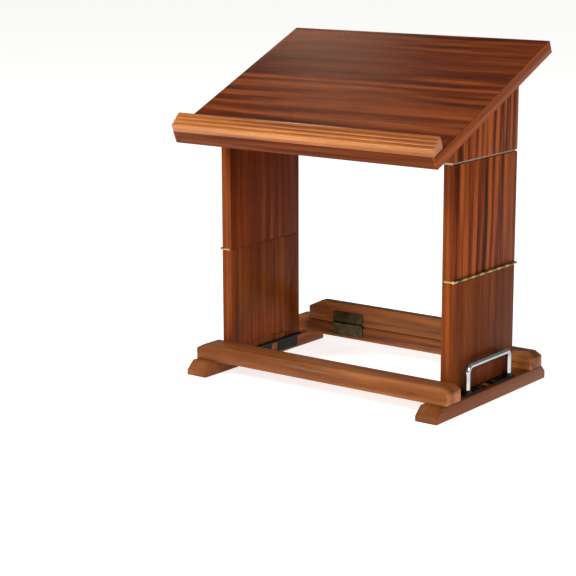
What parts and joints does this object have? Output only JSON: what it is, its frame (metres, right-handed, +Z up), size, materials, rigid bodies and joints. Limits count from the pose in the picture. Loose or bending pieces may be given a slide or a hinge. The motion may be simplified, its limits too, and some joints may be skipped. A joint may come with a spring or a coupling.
{
  "type": "folding bible stand",
  "caption": "Table-top bible stand: sloping wooden desk with a reeded book ledge on hinged side legs that fold inwards over a foot frame with chrome wire handles.",
  "frame": {"origin": "on the floor, under the middle of the whole stand's bounding box", "axes": "+Z up, +Y from the reader towards the back of the stand, +X to the reader's right"},
  "size_m": [0.483, 0.3516, 0.5398],
  "materials": {
    "veneered_board": "satin lacquered ribbon-striped mahogany veneer on board",
    "solid_wood": "satin lacquered solid mahogany",
    "hinge_brass": "polished brass",
    "dark_bronze": "dark antique bronze",
    "black_metal": "satin black",
    "bright_chrome": "bright chrome",
    "screw_steel": "zinc plated"
  },
  "bodies": {
    "base": {"foot_right": "solid_wood", "foot_left": "solid_wood", "front_rail": "solid_wood", "back_rail": "solid_wood", "rail_screws": "screw_steel", "handle_right": "bright_chrome", "handle_left": "bright_chrome", "handle_screws": "screw_steel", "handle_brackets_right": "black_metal", "handle_brackets_left": "black_metal", "bracket_screws": "screw_steel", "foot_hinge_base_leaf_right": "black_metal", "foot_hinge_base_leaf_left": "black_metal", "foot_hinge_pin_right": "black_metal", "foot_hinge_pin_left": "black_metal", "foot_hinge_screws": "screw_steel", "bar_hinge_rail_leaves": "dark_bronze", "bar_hinge_rail_screws": "dark_bronze", "bar_hinge_pins": "dark_bronze"},
    "folding_bar": {"stop_bar": "solid_wood", "bar_hinge_bar_leaves": "dark_bronze", "bar_hinge_bar_screws": "dark_bronze"},
    "lower_leg_right": {"lower_leg_right": "veneered_board", "foot_hinge_leg_leaf_right": "black_metal", "leg_bolts_right": "screw_steel", "cross_dowels_right": "dark_bronze", "knee_hinge_lower_leaf_right": "hinge_brass", "knee_hinge_pin_right": "hinge_brass", "lower_leg_screws_right": "hinge_brass"},
    "upper_leg_right": {"upper_leg_right": "veneered_board", "knee_hinge_upper_leaf_right": "hinge_brass", "top_hinge_leg_leaf_right": "hinge_brass", "top_hinge_pin_right": "hinge_brass", "upper_leg_screws_right": "hinge_brass"},
    "lower_leg_left": {"lower_leg_left": "veneered_board", "foot_hinge_leg_leaf_left": "black_metal", "leg_bolts_left": "screw_steel", "cross_dowels_left": "dark_bronze", "knee_hinge_lower_leaf_left": "hinge_brass", "knee_hinge_pin_left": "hinge_brass", "lower_leg_screws_left": "hinge_brass"},
    "upper_leg_left": {"upper_leg_left": "veneered_board", "knee_hinge_upper_leaf_left": "hinge_brass", "top_hinge_leg_leaf_left": "hinge_brass", "top_hinge_pin_left": "hinge_brass", "upper_leg_screws_left": "hinge_brass"},
    "desk": {"desk_panel": "veneered_board", "desk_lipping_front": "solid_wood", "desk_lipping_back": "solid_wood", "desk_lipping_right": "solid_wood", "desk_lipping_left": "solid_wood", "book_ledge": "solid_wood", "ledge_screws": "screw_steel", "cheek_right": "veneered_board", "cheek_left": "veneered_board", "cheek_dowels": "solid_wood", "top_hinge_cheek_leaf_right": "hinge_brass", "top_hinge_cheek_leaf_left": "hinge_brass", "cheek_hinge_screws": "hinge_brass"}
  },
  "joints": [
    {"name": "leg_fold", "type": "hinge", "parent": "base", "child": "lower_leg_right", "pos_m": [0.198, 0.01276, 0.0234], "axis": [0, -1, 0], "range_deg": [0, 90]},
    {"name": "knee_right", "type": "hinge", "parent": "lower_leg_right", "child": "upper_leg_right", "pos_m": [0.22, 0.01276, 0.1994], "axis": [0, 1, 0], "range_deg": [0, 180]},
    {"name": "desk_right", "type": "hinge", "parent": "upper_leg_right", "child": "desk", "pos_m": [0.198, 0.01276, 0.3754], "axis": [0, -1, 0], "range_deg": [0, 90]},
    {"name": "leg_left", "type": "hinge", "parent": "base", "child": "lower_leg_left", "pos_m": [-0.198, 0.01276, 0.0234], "axis": [0, 1, 0], "range_deg": [0, 90]},
    {"name": "knee_left", "type": "hinge", "parent": "lower_leg_left", "child": "upper_leg_left", "pos_m": [-0.22, 0.01276, 0.1994], "axis": [0, -1, 0], "range_deg": [0, 180]},
    {"name": "bar_swing", "type": "hinge", "parent": "base", "child": "folding_bar", "pos_m": [0, 0.12366, 0.047], "axis": [1, 0, 0], "range_deg": [0, 180]}
  ],
  "couplings": [
    {"joint": "knee_right", "follows": "leg_fold", "ratio": 2},
    {"joint": "desk_right", "follows": "leg_fold", "ratio": 1},
    {"joint": "leg_left", "follows": "leg_fold", "ratio": 1},
    {"joint": "knee_left", "follows": "leg_fold", "ratio": 2}
  ]
}
